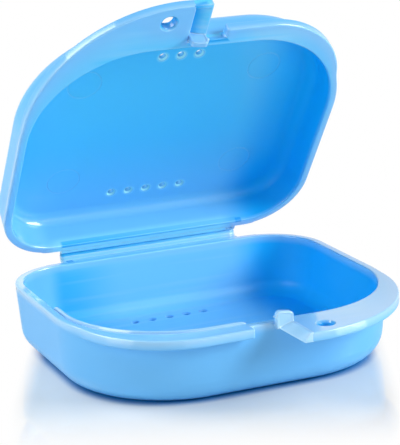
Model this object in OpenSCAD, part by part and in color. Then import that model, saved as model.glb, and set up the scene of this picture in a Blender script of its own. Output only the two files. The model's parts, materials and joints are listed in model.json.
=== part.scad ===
// Orthodontic retainer case: a tub and a lid moulded in one with a film hinge at the back.
// Millimetres, +Z up, +Y to the hinge, origin at the centre of the resting face.
// Tub and lid carry the same latch, turned half a turn about Y, so that the two hooks
// pass side by side and each wide thumb tab lies over the other half's narrow lip.

/* [Case] */
// Inside width at the rim
inner_w = 78; // [72:1:90]
// Inside depth at the rim, front to back
inner_d = 65; // [60:1:76]
// Height of the tub, floor to rim
base_h = 16.9; // [15:0.1:24]
// Height of the lid, rim to top
lid_h = 10.5; // [9.8:0.1:16]
// Radius of the two back corners at the inside of the rim
back_r = 13; // [11:0.5:18]
// Radius of the two front corners at the inside of the rim
front_r = 26; // [22:0.5:30]

/* [Walls] */
// Wall thickness
wall = 2; // [1.6:0.1:2.4]
// Thickness of the floor and of the lid's top
floor_t = 1.6; // [1.2:0.1:2]
// Lean of the walls for release from the mould, degrees
draft = 5; // [3:0.5:6]
// Outside rounding between wall and floor of the tub
base_round = 5.8; // [5:0.1:6.4]
// Outside rounding between wall and top of the lid
lid_round = 5; // [4.4:0.1:5.6]
// Bevel on the edges of the rim
rim_bevel = 0.3; // [0.2:0.05:0.4]

/* [Opening] */
// How far the lid stands open, degrees from closed
open_angle = 55; // [30:1:110]
// Gap between the two rims when closed
rim_gap = 0.4; // [0.4:0.05:0.6]

/* [Hinge] */
// Length of the hinge along the back
hinge_l = 48; // [40:1:50]
// How far each hinge land stands out behind the wall
land_out = 1.2; // [1:0.1:1.6]
// Height of each hinge land
land_t = 1.2; // [1.1:0.1:1.6]
// Distance from the end of a land to the hinge line
hinge_reach = 1.5; // [1.4:0.1:1.8]
// Thickness of the hinge film
film_t = 0.4; // [0.3:0.05:0.5]

/* [Latch] */
// Radius of the crescent thumb tab
tab_r = 34; // [33:0.5:36]
// How far the thumb tab reaches out in front of the wall
tab_reach = 11; // [10:0.5:13]
// Thickness of the thumb tab and of the narrow lip
tab_t = 2.2; // [1.8:0.1:2.6]
// How far the narrow lip stands out in front of the wall
lip_out = 2.6; // [2:0.1:2.8]
// Width of the tongue that carries the hook
hook_w = 4.2; // [4:0.1:5]
// Height of the hook above the rim
hook_h = 3; // [2.6:0.1:3.6]
// Thickness of the hook, front to back
hook_t = 1.5; // [1.2:0.1:1.8]
// How far the hook's barb stands out sideways
barb_out = 0.45; // [0.3:0.05:0.6]
// Free space beside and behind the hooks when closed
hook_clear = 0.5; // [0.45:0.05:0.7]
// Diameter of the lanyard hole in each thumb tab
lanyard_d = 3.4; // [2.6:0.1:4]
// Distance of the lanyard hole from the middle of the case
lanyard_x = 10.4; // [9.5:0.1:14]

/* [Air holes] */
// Diameter of the air holes
vent_d = 1.6; // [1.2:0.1:2]
// Spacing of the air holes
vent_pitch = 4.7; // [4:0.1:5.5]
// Distance of the back rows from the rim's back edge
vent_back = 7.6; // [7.4:0.1:12]
// Distance of the lid's front row from the rim's front edge
vent_front = 11.1; // [9:0.1:14]

/* [Locating ridge] */
// Height of the ridge above the rim
ridge_h = 0.45; // [0.3:0.05:0.8]
// Thickness of the ridge
ridge_t = 0.6; // [0.5:0.05:0.8]

/* [Hidden] */
$fn = 64;

half_w = inner_w / 2;
half_d = inner_d / 2;
// Centres of the corner arcs
front_x = half_w - front_r;
front_y = front_r - half_d;
back_x = half_w - back_r;
back_y = half_d - back_r;
// Outside of the wall at the rim
wall_front = -half_d - wall;
wall_back = half_d + wall;
lean = tan(draft);
// Inside roundings
base_in_round = base_round - wall + 0.4;
lid_in_round = lid_round - wall + 0.4;
// Hinge line
land_end = wall_back + land_out;
hinge_y = land_end + hinge_reach;
hinge_z = base_h + rim_gap / 2;
// Middle of the film below the rim
film_drop = 0.5;
// The film is one round arc, square to both lands
film_dz = rim_gap / 2 + film_drop;
film_chord = 2 * norm([hinge_reach, film_dz]) * sin(open_angle / 2 + atan2(film_dz, hinge_reach));
film_turn = 180 - open_angle;
film_r = film_chord / (2 * sin(film_turn / 2));
film_cz = base_h - film_drop + film_r;
// The strap between the two bending lines, and where along the turn it starts
strap_t = 2 * film_t;
strap_from = 0.24;
// Thumb tab: an arc that leaves the front in the middle and dies into the side wall
tab_front = wall_front - tab_reach;
tab_cy = tab_front + tab_r;
tab_cx = half_w + wall - 0.35 - tab_r;
// The tongue lies between the middle and the tab
hook_x0 = 0.35;
hook_x1 = hook_x0 + hook_w;
head_x0 = hook_x0 + 0.25;
head_y1 = wall_front - hook_clear;
head_y0 = head_y1 - hook_t;
head_r = 1.3;
// Tongues: front end, raised edge, drop and slant on the tub, depth and front wall of the lid's hollow
tongue_y = tab_front + 0.25;
edge_t = 0.5;
edge_h = 0.25;
tongue_drop = 0.6;
tongue_cut = 2.55;
tongue_sink = 1.1;
rib_t = 0.9;
lip_end = hook_x1 + hook_clear;
// Narrow lip: an arc that dies into the corner
lip_r = front_r + wall - 5;
lip_cx = -front_x - 3;
lip_cy = wall_front - lip_out + lip_r;
lanyard_y = tab_front + 4.8;
// Behind these the crescents have died into the wall
tab_back = 4;
lip_back = 2;
// Long enough to cut right across the case
case_span = inner_w + inner_d;
sink = 0.4;
vent_sink = 0.3;
// Ridge: how far it stands inside the rim's edge, how deep it grows out of the wall, its run along the side
ridge_in = 0.3;
ridge_foot = 2.5;
ridge_side = 0.1 * inner_d;
mark_r = 4.4;
mark_t = 0.4;
mark_depth = 0.15;
mark_x = half_w - 15.7;

// Walls

// Outside of a section: from the middle out to a leaning wall with a round foot
module outer_section(r, h, rnd) {
    foot = wall - (rnd + (h - rnd) * sin(draft)) / cos(draft);
    union() {
        polygon([[0, 0], [r + foot, 0], [r + foot + rnd * cos(draft), rnd - rnd * sin(draft)],
                 [r + wall - rim_bevel * lean, h - rim_bevel], [r + wall - rim_bevel, h], [0, h]]);
        translate([r + foot, rnd])
            circle(r = rnd);
    }
}

// Inside of a section, open at the rim
module inner_section(r, h, rnd) {
    foot = -(rnd + (h - floor_t - rnd) * sin(draft)) / cos(draft);
    union() {
        polygon([[0, floor_t], [r + foot, floor_t],
                 [r + foot + rnd * cos(draft), floor_t + rnd - rnd * sin(draft)],
                 [r - rim_bevel * lean, h - rim_bevel], [r + rim_bevel, h],
                 [r + rim_bevel, h + 1], [0, h + 1]]);
        translate([r + foot, floor_t + rnd])
            circle(r = rnd);
    }
}

// Outside of a section without the bevel, carried on above the rim: what joins the wall is cut to it
module joint_section(r, h) {
    polygon([[0, 0], [r + wall - h * lean, 0], [r + wall + lean, h + 1], [0, h + 1]]);
}

// One section of the case: 0 outside, 1 inside, 2 what joins the wall
module section(kind, r, h, rnd) {
    if (kind == 0)
        outer_section(r, h, rnd);
    else if (kind == 1)
        inner_section(r, h, rnd);
    else
        joint_section(r, h);
}

// A quarter turn of a section about a corner's centre
module corner(kind, x, y, turn, r, h, rnd) {
    translate([x, y, 0])
        rotate([0, 0, turn])
            rotate_extrude(angle = 90)
                section(kind, r, h, rnd);
}

// A straight run of a section, its outside facing the given way
module run(kind, x, y, turn, len, r, h, rnd) {
    translate([x, y, 0])
        rotate([0, 0, turn])
            rotate([90, 0, 0])
                linear_extrude(height = len, center = true)
                    section(kind, r, h, rnd);
}

// The whole plan of the case filled with a section
module filled(kind, h, rnd) {
    side_len = back_y - front_y;
    side_y = (back_y + front_y) / 2;
    union() {
        corner(kind, front_x, front_y, -90, front_r, h, rnd);
        corner(kind, -front_x, front_y, 180, front_r, h, rnd);
        corner(kind, back_x, back_y, 0, back_r, h, rnd);
        corner(kind, -back_x, back_y, 90, back_r, h, rnd);
        run(kind, 0, front_y, -90, 2 * front_x, front_r, h, rnd);
        run(kind, 0, back_y, 90, 2 * back_x, back_r, h, rnd);
        run(kind, 0, side_y, 0, side_len, half_w, h, rnd);
        run(kind, 0, side_y, 180, side_len, half_w, h, rnd);
    }
}

// A row of air holes through the floor, each with a small countersink on the inside
module vent_row(count, y) {
    for (i = [0 : count - 1]) {
        translate([(i - (count - 1) / 2) * vent_pitch, y, -1]) {
            cylinder(d = vent_d, h = floor_t + 2);
            translate([0, 0, 1 + floor_t - vent_sink])
                cylinder(d1 = vent_d, d2 = vent_d + 2 * vent_sink, h = vent_sink);
        }
    }
}

// Round witness mark of an ejector pin, a shallow groove in the inside face
module pin_mark(x, y) {
    translate([x, y, floor_t - mark_depth])
        difference() {
            cylinder(r = mark_r, h = 1);
            translate([0, 0, -1])
                cylinder(r = mark_r - mark_t, h = 3);
        }
}

// Latch and rim, as they stand on the tub

// A round plate under the rim's plane with a bevelled upper edge
module plate(x, y, r, h) {
    translate([x, y, 0])
        rotate_extrude()
            polygon([[0, h - tab_t], [r, h - tab_t], [r, h - rim_bevel], [r - rim_bevel, h], [0, h]]);
}

// Narrow lip along the front on the side away from the tab
module rim_lip(h, rnd) {
    difference() {
        union() {
            plate(lip_cx, lip_cy, lip_r, h);
            translate([lip_cx, wall_front - lip_out, 0])
                rotate([90, 0, 90])
                    linear_extrude(height = -lip_end - lip_cx)
                        polygon([[0, h - tab_t], [lip_out + 1, h - tab_t], [lip_out + 1, h],
                                 [rim_bevel, h], [0, h - rim_bevel]]);
        }
        filled(2, h, rnd);
        // Nothing of the lip's disc on the hook's side of the lip's end
        translate([-lip_end, wall_front - lip_out - 1, h - tab_t - 1])
            cube([case_span, case_span, tab_t + 2]);
        translate([lip_cx - lip_r - 1, front_y + lip_back, h - tab_t - 1])
            cube([2 * lip_r + 2, case_span, tab_t + 2]);
    }
}

// Wide crescent thumb tab with the lanyard hole
module thumb_tab(h, rnd) {
    difference() {
        plate(tab_cx, tab_cy, tab_r, h);
        filled(2, h, rnd);
        // Nothing on the tongue's side, and nothing behind the place where the arc dies into the wall
        translate([hook_x1 - case_span, tab_front - 1, h - tab_t - 1])
            cube([case_span, case_span, tab_t + 2]);
        translate([0, front_y + tab_back, h - tab_t - 1])
            cube([case_span, case_span, tab_t + 2]);
        translate([lanyard_x, lanyard_y, h - tab_t - 1])
            cylinder(d = lanyard_d, h = tab_t + 2);
        translate([lanyard_x, lanyard_y, h - sink])
            cylinder(d1 = lanyard_d, d2 = lanyard_d + 4 * sink, h = 2 * sink);
    }
}

// Upright head with two round top corners and a barb on its free side
module hook_head(h) {
    head_w = hook_x1 - head_x0;
    barb_z = h + hook_h - head_r;
    translate([0, head_y1, 0])
        rotate([90, 0, 0])
            linear_extrude(height = hook_t)
                union() {
                    translate([head_x0, h - tab_t])
                        square([head_w, tab_t + hook_h - head_r]);
                    translate([head_x0 + head_r, h])
                        square([head_w - 2 * head_r, hook_h]);
                    translate([head_x0 + head_r, h + hook_h - head_r])
                        circle(r = head_r);
                    translate([hook_x1 - head_r, h + hook_h - head_r])
                        circle(r = head_r);
                    polygon([[head_x0 + 0.1, barb_z - 0.7], [head_x0 - barb_out, barb_z - 0.2],
                             [head_x0 - barb_out, barb_z], [head_x0 + 0.1, barb_z + 0.5]]);
                }
}

// Raised edge between tongue and tab
module tongue_edge(h) {
    translate([hook_x1 - edge_t, tongue_y, h - tab_t])
        cube([edge_t, head_y0 + 0.5 - tongue_y, tab_t + edge_h]);
}

// The tub's hook, on a slanted tongue: wide and nearly flat at the wall, steep at its free end
module slanted_hook(h, rnd) {
    root_y = wall_front + 1;
    tip_x = hook_x0 + tongue_cut;
    union() {
        difference() {
            polyhedron(points = [[hook_x1, tongue_y, h], [tip_x, tongue_y, h - tab_t],
                                 [hook_x1, tongue_y, h - tab_t], [hook_x1, root_y, h],
                                 [hook_x0, root_y, h - tongue_drop], [hook_x1, root_y, h - tab_t]],
                       faces = [[0, 2, 1], [3, 4, 5], [0, 3, 5, 2], [0, 1, 3], [1, 4, 3],
                                [1, 2, 5], [1, 5, 4]]);
            filled(2, h, rnd);
        }
        tongue_edge(h);
        hook_head(h);
    }
}

// The lid's hook, on a tongue that is hollowed towards the tab, so that its free edge stands up
module sunk_hook(h, rnd) {
    union() {
        difference() {
            translate([hook_x0, tongue_y, h - tab_t])
                cube([hook_w, wall_front + 1 - tongue_y, tab_t]);
            translate([0, head_y0, 0])
                rotate([90, 0, 0])
                    linear_extrude(height = head_y0 - tongue_y - rib_t)
                        polygon([[hook_x0 + edge_t, h], [hook_x1, h - tongue_sink],
                                 [hook_x1 + 1, h - tongue_sink], [hook_x1 + 1, h + 1],
                                 [hook_x0 + edge_t, h + 1]]);
            filled(2, h, rnd);
        }
        hook_head(h);
    }
}

// Land that carries the film behind the back wall, with a slot at one end
module hinge_land(h, rnd) {
    difference() {
        rotate([90, 0, 90])
            linear_extrude(height = hinge_l, center = true)
                polygon([[wall_back - 1, h - land_t], [land_end, h - land_t], [land_end, h - 0.15],
                         [land_end - 0.15, h], [wall_back - 1, h]]);
        filled(2, h, rnd);
        translate([0.8 - hinge_l / 2, wall_back + 0.3, h - land_t - 1])
            cube([1.7, 0.5, land_t + 2]);
    }
}

// Section of the locating ridge: it grows out of the inside of the wall
module ridge_section(r, h) {
    polygon([[r - (rim_bevel + ridge_foot) * lean, h - rim_bevel - ridge_foot],
             [r - rim_bevel * lean, h - rim_bevel], [r - ridge_in, h],
             [r - ridge_in - 0.05, h + ridge_h], [r - ridge_in - ridge_t, h + ridge_h],
             [r - ridge_in - 0.05 - ridge_t, h]]);
}

// Low ridge on the tub that steps inside the lid's rim, along the front on the lip's side
module locating_ridge(h) {
    union() {
        translate([-front_x, front_y, 0])
            rotate([0, 0, 180])
                rotate_extrude(angle = 90)
                    ridge_section(front_r, h);
        translate([-front_x, front_y + ridge_side / 2, 0])
            rotate([0, 0, 180])
                rotate([90, 0, 0])
                    linear_extrude(height = ridge_side, center = true)
                        ridge_section(front_r, h);
        translate([-(front_x + lip_end) / 2, front_y, 0])
            rotate([0, 0, -90])
                rotate([90, 0, 0])
                    linear_extrude(height = front_x - lip_end, center = true)
                        ridge_section(front_r, h);
    }
}

// Places

// From a lid lying upside down on the ground to the lid standing open on its hinge
module lid_place() {
    translate([0, hinge_y, hinge_z])
        rotate([-open_angle, 0, 0])
            translate([0, -hinge_y, rim_gap / 2 + lid_h])
                rotate([0, 180, 0])
                    children();
}

// Sub-parts

module base_shell() {
    color("LightSkyBlue")
        difference() {
            filled(0, base_h, base_round);
            filled(1, base_h, base_in_round);
            vent_row(5, half_d - vent_back);
        }
}

module base_rim_lip() {
    color("LightSkyBlue")
        rim_lip(base_h, base_round);
}

module base_thumb_tab() {
    color("LightSkyBlue")
        thumb_tab(base_h, base_round);
}

module base_latch_hook() {
    color("LightSkyBlue")
        slanted_hook(base_h, base_round);
}

module base_hinge_land() {
    color("LightSkyBlue")
        hinge_land(base_h, base_round);
}

module base_locating_ridge() {
    color("LightSkyBlue")
        locating_ridge(base_h);
}

// A ring of the film's arc, of thickness t, between two shares of its turn
module film_ring(t, from, to) {
    far = 4 * film_r;
    intersection() {
        difference() {
            circle(r = film_r + t / 2);
            circle(r = film_r - t / 2);
        }
        polygon(concat([[0, 0]], [for (i = [0 : 3])
            far * [cos((from + i * (to - from) / 3) * film_turn - 90),
                   sin((from + i * (to - from) / 3) * film_turn - 90)]]));
    }
}

// Thin film that bends, one arc from land to land, with a thicker strap along its middle
module hinge_film() {
    color("DeepSkyBlue")
        translate([-hinge_l / 2, land_end, film_cz])
            rotate([90, 0, 90])
                linear_extrude(height = hinge_l)
                    union() {
                        film_ring(film_t, 0, 1);
                        film_ring(strap_t, strap_from, 1 - strap_from);
                    }
}

module lid_shell() {
    color("LightSkyBlue")
        lid_place()
            difference() {
                filled(0, lid_h, lid_round);
                filled(1, lid_h, lid_in_round);
                vent_row(5, half_d - vent_back);
                vent_row(3, vent_front - half_d);
                pin_mark(mark_x, half_d - 14.2);
                pin_mark(-mark_x, half_d - 14.2);
                pin_mark(mark_x, 17.6 - half_d);
                pin_mark(-mark_x, 17.6 - half_d);
            }
}

module lid_rim_lip() {
    color("LightSkyBlue")
        lid_place()
            rim_lip(lid_h, lid_round);
}

module lid_thumb_tab() {
    color("LightSkyBlue")
        lid_place()
            thumb_tab(lid_h, lid_round);
}

module lid_latch_hook() {
    color("LightSkyBlue")
        lid_place()
            sunk_hook(lid_h, lid_round);
}

module lid_hinge_land() {
    color("LightSkyBlue")
        lid_place()
            hinge_land(lid_h, lid_round);
}

base_shell();
base_rim_lip();
base_thumb_tab();
base_latch_hook();
base_hinge_land();
base_locating_ridge();
hinge_film();
lid_shell();
lid_rim_lip();
lid_thumb_tab();
lid_latch_hook();
lid_hinge_land();
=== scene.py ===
import json
import math

import bpy
import numpy as np
from bpy.props import FloatProperty, FloatVectorProperty, PointerProperty
from mathutils import Matrix, Vector
from mathutils.geometry import delaunay_2d_cdt


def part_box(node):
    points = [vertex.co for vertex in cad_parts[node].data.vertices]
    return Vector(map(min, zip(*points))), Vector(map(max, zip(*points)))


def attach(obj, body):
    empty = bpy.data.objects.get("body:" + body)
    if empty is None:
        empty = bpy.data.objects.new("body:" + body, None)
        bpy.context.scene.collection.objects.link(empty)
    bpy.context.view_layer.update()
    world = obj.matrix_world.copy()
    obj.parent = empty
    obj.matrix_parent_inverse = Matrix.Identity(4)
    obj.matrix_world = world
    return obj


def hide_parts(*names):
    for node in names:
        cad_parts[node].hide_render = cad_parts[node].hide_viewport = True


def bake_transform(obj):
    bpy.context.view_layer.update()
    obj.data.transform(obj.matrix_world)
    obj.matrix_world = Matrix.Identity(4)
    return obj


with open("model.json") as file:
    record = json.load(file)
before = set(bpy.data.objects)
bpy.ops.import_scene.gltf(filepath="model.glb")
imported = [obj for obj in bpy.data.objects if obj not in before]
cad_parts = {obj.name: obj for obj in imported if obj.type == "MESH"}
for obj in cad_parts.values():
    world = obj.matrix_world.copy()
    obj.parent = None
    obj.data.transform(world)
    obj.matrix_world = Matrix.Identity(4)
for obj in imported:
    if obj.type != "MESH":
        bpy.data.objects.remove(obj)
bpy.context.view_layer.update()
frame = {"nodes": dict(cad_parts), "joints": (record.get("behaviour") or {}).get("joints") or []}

bl_info = {
    "name": "Retainer case",
    "version": (1, 0, 0),
    "blender": (4, 5, 0),
    "location": "3D View > Sidebar > Retainer case",
    "description": "Finishes a hinged retainer case in glossy polypropylene and sets its studio stage",
    "category": "Object",
}

MM = 0.001

# The case in its frame
HINGE_AT = np.array(next(j["pos_m"] for j in frame["joints"] if j["name"] == "lid_hinge"), float)
BASE_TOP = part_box("base_shell")[1].z
OPEN = math.radians(55)
# The way the open lid's rim plane faces, out of the lid
LID_OUT = np.array([0.0, -math.sin(OPEN), -math.cos(OPEN)])
# From the hinge into the lid, along its rim plane
LID_IN = np.array([0.0, -math.cos(OPEN), math.sin(OPEN)])

# The tab's circle lies this far inside the outer side of the wall
TAB_INSET = 0.35 * MM
# Underside of both tongues below the rim
TONGUE_T = 2.15 * MM
# Roundings of the rim's edges, and of its outer edge along the hinge
RIM_EDGE = 0.4 * MM
HINGE_EDGE = 0.12 * MM
# From the end of a land to the hinge line, from the rim down to the middle of the film, and its arc's radius
LAND_TO_HINGE = 1.5 * MM
FILM_DROP = 0.5 * MM
FILM_R = 1.48 * MM

# Sections of holes and marks: out of the hole's radius, or of its centre for a pin mark, and up
LANYARD_BEVEL = np.array([[0, 0], [0.1, 0.05], [0.5, 0.45], [0.6, 0.5]]) * MM
VENT_BORE = np.array([[0.1, 0], [0, 0.1], [0, 1.15]]) * MM
VENT_CONE = np.array([[0, 1.15], [0.12, 1.26], [0.34, 1.52], [0.5, 1.6]]) * MM
PIN_GROOVE = np.array([[4, 0], [4.08, -0.1], [4.32, -0.1], [4.4, 0]]) * MM
# Where the ejector pins marked the lid
PINS = np.array([[-23.3, -14.9], [-23.3, 18.3], [23.3, -14.9], [23.3, 18.3]]) * MM
# Steps round a lanyard hole, an air hole and a pin mark
LANYARD_STEPS = 40
VENT_STEPS = 28
PIN_STEPS = 60

# Levels of the satin and polished surface and of painted light: below satin the plastic is painted paler,
# above polished it gets painted shade, as in a deep hollow
SATIN = 0.0
POLISHED = 1.0
HOLLOW_SHADE = 2.3
# Levels in the air holes' straight bores, painted shade, and in their cones, painted paler light
TUB_VENTS = (2.0, -0.1)
LID_VENTS = (1.75, -2.0)

# Softboxes: name, place and size
LAMPS = (
    ("key", (0.615, -0.430, 0.399), (0.45, 0.4)),
    ("rear", (-0.42, 0.33, 0.66), (0.5, 0.5)),
    ("fill", (-0.776, -0.137, 0.318), (0.5, 0.4)),
    ("front", (0.13, -0.82, 0.17), (0.5, 0.25)),
)
LAMPS_LOOK_AT = Vector((0, 0, 0.03))
CAMERA_AT = (-0.165426, -0.378911, 0.142061)
CAMERA_RIGHT = (0.91383, -0.40483, -0.03204)
CAMERA_UP = (0.13259, 0.22285, 0.96579)
# The floor is white outside a box round the case's foot, turned to the camera: turn, offset and half size
FOOT_TURN = 0.417
FOOT_OFFSET = (0.001, 0.018, 0)
FOOT_HALF = (0.038, 0.018, 0)
FLOOR_HALF = 6.0


# Sizes and colours


def length(name, description, millimetres):
    """A length property, its default given in millimetres."""
    return FloatProperty(name=name, description=description, unit="LENGTH", precision=4,
                         default=millimetres * MM, min=0)


def colour(name, description, *shade):
    """A colour property, its default given as red, green and blue."""
    return FloatVectorProperty(name=name, description=description, subtype="COLOR", default=shade,
                               size=3, min=0, max=1)


def power(name, description, watts):
    """A lamp's power property, its default given in watts."""
    return FloatProperty(name=name, description=description, unit="POWER", default=watts, min=0)


class CaseSizes(bpy.types.PropertyGroup):
    """Sizes of the case, as in its solids."""

    inner_w: length("Inside width", "Width inside the rim", 78)
    inner_d: length("Inside depth", "Depth inside the rim, front to back", 65)
    base_h: length("Tub height", "Height of the tub, floor to rim", 16.9)
    lid_h: length("Lid height", "Height of the lid, rim to top", 10.5)
    back_r: length("Back corners", "Radius of the back corners inside the rim", 13)
    front_r: length("Front corners", "Radius of the front corners inside the rim", 26)
    wall: length("Wall", "Thickness of the wall", 2)
    floor_t: length("Floor", "Thickness of the floor and of the lid's top", 1.6)
    base_round: length("Tub rounding", "Outside rounding between wall and floor", 5.8)
    lid_round: length("Lid rounding", "Outside rounding between wall and top", 5)
    rim_gap: length("Rim gap", "Gap between the rims when shut", 0.4)
    hinge_l: length("Hinge length", "Length of the hinge along the back", 48)
    film_t: length("Film", "Thickness of the hinge film", 0.4)
    tab_r: length("Tab radius", "Radius of the crescent thumb tab", 34)
    tab_reach: length("Tab reach", "How far the thumb tab reaches out of the wall", 11)
    tab_t: length("Tab thickness", "Thickness of the thumb tab and of the lip", 2.2)
    lip_out: length("Lip", "How far the narrow lip stands out of the wall", 2.6)
    lip_end: length("Lip end", "Distance of the lip's end from the middle", 5.05)
    hook_x0: length("Hook start", "Distance of the tongue's free side from the middle", 0.35)
    hook_x1: length("Hook end", "Distance of the tab's end from the middle", 4.55)
    hook_h: length("Hook height", "Height of the hook above the rim", 3)
    hook_t: length("Hook thickness", "Thickness of the hook, front to back", 1.5)
    lanyard_d: length("Lanyard hole", "Diameter of the lanyard hole", 3.4)
    lanyard_x: length("Lanyard place", "Distance of the lanyard hole from the middle", 10.4)
    vent_d: length("Air hole", "Diameter of the air holes", 1.6)
    vent_pitch: length("Air hole pitch", "Spacing of the air holes", 4.7)
    vent_back: length("Back row", "Distance of the back row from the rim", 7.6)
    vent_front: length("Front row", "Distance of the lid's front row from the rim", 11.1)
    ridge_h: length("Ridge", "Height of the locating ridge above the rim", 0.45)
    draft: FloatProperty(name="Draft", description="Lean of the walls", subtype="ANGLE",
                         default=math.radians(5))
    open_angle: FloatProperty(name="Opening", description="How far the lid stands open", subtype="ANGLE",
                              default=OPEN)


class CaseFinish(bpy.types.PropertyGroup):
    """Colours and surface of the moulded case, with the colours of its painted light and shade."""

    plastic: colour("Outside", "Colour of the satin outside", 0.14, 0.48, 0.90)
    inside: colour("Inside", "Deeper colour of the polished inside", 0.075, 0.58, 0.97)
    # Painted light: the pale colour of the painted sheen at the rim, of painted streak highlights and of
    # painted light at thin parts and round holes
    thin: colour("Thin edges", "Paler colour where the moulding is thin", 0.38, 0.69, 0.97)
    # Painted light: paler inside low down
    low: colour("Inside, low", "Paler colour of the inside near the floor", 0.18, 0.60, 0.97)
    deep: colour("Inside, deep", "Deep colour of the inside away from the light", 0.0, 0.48, 0.97)
    # Painted light: bright glow on the film and the tub beside it, for light through the thin film
    hinge: colour("Hinge film", "Bright colour of the film and of the tub beside it", 0.22, 0.66, 0.99)
    # Painted light: pale glow on the lid by the strap and light rings round its air holes
    strap: colour("Hinge strap", "Pale colour of the lid by the strap and round air holes", 0.38, 0.90, 1.0)
    # Painted shade in the hinge's grooves
    groove_shade: colour("Grooves", "Deep colour in the hinge's bending grooves", 0.01, 0.48, 0.88)
    # Painted shade of holes, hollows and the hinge's slots
    shade: colour("Hollows", "Deep colour of holes and hollows", 0.002, 0.35, 0.84)
    # Painted highlight along sharp edges
    edges: colour("Edges", "Pale colour of sharp edges", 0.58, 0.83, 0.99)
    gloss: FloatProperty(name="Roughness", description="Roughness of the moulded surface", subtype="FACTOR",
                         default=0.30, min=0, max=1)
    edge: length("Edge rounding", "Radius of the soft edge on every corner", 0.3)


class CaseStage(bpy.types.PropertyGroup):
    """Floor, lamps and camera."""

    floor: colour("Floor", "Colour of the floor", 0.85, 0.84, 0.80)
    # Painted shadow on the floor where the case is close above
    contact_shadow: colour("Contact", "Colour of the floor where the case touches it", 0.0, 0.25, 0.54)
    key: power("Key lamp", "Power of the softbox at the right", 7.0)
    rear: power("Rear lamp", "Power of the softbox behind, left", 4.4)
    fill: power("Fill lamp", "Power of the softbox at the left", 3.0)
    front: power("Front lamp", "Power of the softbox in front", 0.7)
    sky: FloatProperty(name="Room light", description="Strength of the even light of the room",
                       default=0.04, min=0)
    lens: FloatProperty(name="Lens", description="Focal length on a 36 mm sensor, in millimetres",
                        default=146.26, min=1)


# Materials


class Wire:
    """A socket of a node tree: sums on wires add Math nodes, and add() makes any other node."""

    def __init__(self, tree, socket=None):
        self.tree = tree
        self.socket = socket

    def add(self, kind, settings=(), inputs=(), out=0):
        """A new node of that type: settings first, then socket values or links; the wire of one output."""
        node = self.tree.nodes.new(kind)
        for name, value in dict(settings).items():
            setattr(node, name, value)
        for key, value in dict(inputs).items():
            if isinstance(value, Wire):
                self.tree.links.new(value.socket, node.inputs[key])
            else:
                node.inputs[key].default_value = value
        return Wire(self.tree, node.outputs[out] if len(node.outputs) else None)

    def maths(self, operation, a, b=0):
        """A Math node on two values."""
        return self.add("ShaderNodeMath", {"operation": operation}, {0: a, 1: b})

    def __add__(self, other):
        return self.maths("ADD", self, other)

    __radd__ = __add__

    def __sub__(self, other):
        return self.maths("SUBTRACT", self, other)

    def __rsub__(self, other):
        return self.maths("SUBTRACT", other, self)

    def __mul__(self, other):
        return self.maths("MULTIPLY", self, other)

    __rmul__ = __mul__

    def vector(self, operation, other=(0, 0, 0)):
        """A Vector Math node on this wire and another vector; a dot product or a length gives a number."""
        out = "Value" if operation in ("DOT_PRODUCT", "LENGTH") else "Vector"
        return self.add("ShaderNodeVectorMath", {"operation": operation}, {0: self, 1: other}, out)

    def along(self, start, way):
        """How far this place lies from a start along a way."""
        return self.vector("SUBTRACT", start).vector("DOT_PRODUCT", way)

    def noise(self, scale, detail, rough=0.5):
        """Noise at this place."""
        return self.add("ShaderNodeTexNoise", {},
                        {"Vector": self, "Scale": scale, "Detail": detail, "Roughness": rough})

    def step(self, low, high):
        """0 below low and 1 above high, smooth between."""
        return self.add("ShaderNodeMapRange", {"interpolation_type": "SMOOTHSTEP", "clamp": True},
                        {"Value": self, "From Min": low, "From Max": high})

    def between(self, low, high, soft):
        """1 between low and high, 0 outside, smooth over soft."""
        return self.step(low - soft, low) * (1 - self.step(high, high + soft))

    def mix(self, first, second):
        """Two colours mixed by this wire; a plain colour is red, green and blue."""
        a, b = (shade if isinstance(shade, Wire) else (*shade, 1) for shade in (first, second))
        return self.add("ShaderNodeMix", {"data_type": "RGBA"}, {0: self, 6: a, 7: b}, out=2)


def new_tree(owner):
    """An empty node tree of a material or world, as a wire to build on."""
    owner.use_nodes = True
    owner.node_tree.nodes.clear()
    return Wire(owner.node_tree)


class Around:
    """Where a place lies, in millimetres: right, to the rear and up from the hinge's middle, into the open
    lid along its rim plane and out of that plane, off the hinge line, and how deep below a half's rim."""

    def __init__(self, place, rim_at, rim_out):
        spot = place.vector("MULTIPLY", (1 / MM, 1 / MM, 1 / MM))
        middle = tuple(HINGE_AT / MM)
        self.right = spot.along(middle, (1, 0, 0))
        self.rear = spot.along(middle, (0, 1, 0))
        self.up = spot.along(middle, (0, 0, 1))
        self.into = spot.along(middle, tuple(LID_IN))
        self.out = spot.along(middle, tuple(LID_OUT))
        self.off = spot.vector("SUBTRACT", middle).vector("MULTIPLY", (0, 1, 1)).vector("LENGTH")
        self.depth = -1 * spot.along(tuple(np.array(rim_at) / MM), rim_out)
        # 1 below the hinge, so in the tub, and 1 on the right side, away from the light
        self.tub = 1 - self.up.step(-2, 0)
        self.dark = self.right.step(20, 31)


def inside_tone_and_painted_light(look, spot):
    """Colour of the inside: painted light paler low down, as outside at the tub's far left, and painted shade
    deep on the right, away from the light, and in the tub's left back corner."""
    left = spot.tub - spot.right.step(-34, -27) * spot.tub
    # Painted shade in the tub's left back corner, fading to the right
    corner = spot.right.step(-29.5, -25) * (1 - spot.right.step(-25, -9))
    corner = corner * spot.rear.step(-30, -12) * spot.tub
    # Painted light: paler low down
    tone = (1 - spot.up.step(4, 34)).mix(look.inside, look.low)
    tone = (left * 0.8).mix(tone, look.plastic)
    # Painted shade deep on the right side and in the corner
    return (spot.dark * 0.95 + corner * 0.7).mix(tone, look.deep)


def hinge_glow_zone(spot):
    """1 close to the hinge line, fading to both ends of the hinge: where a bright glow is painted, for light
    through the thin strap.
    """
    return (1 - spot.off.step(4, 6)) * spot.right.between(-24, 19, 5)


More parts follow.
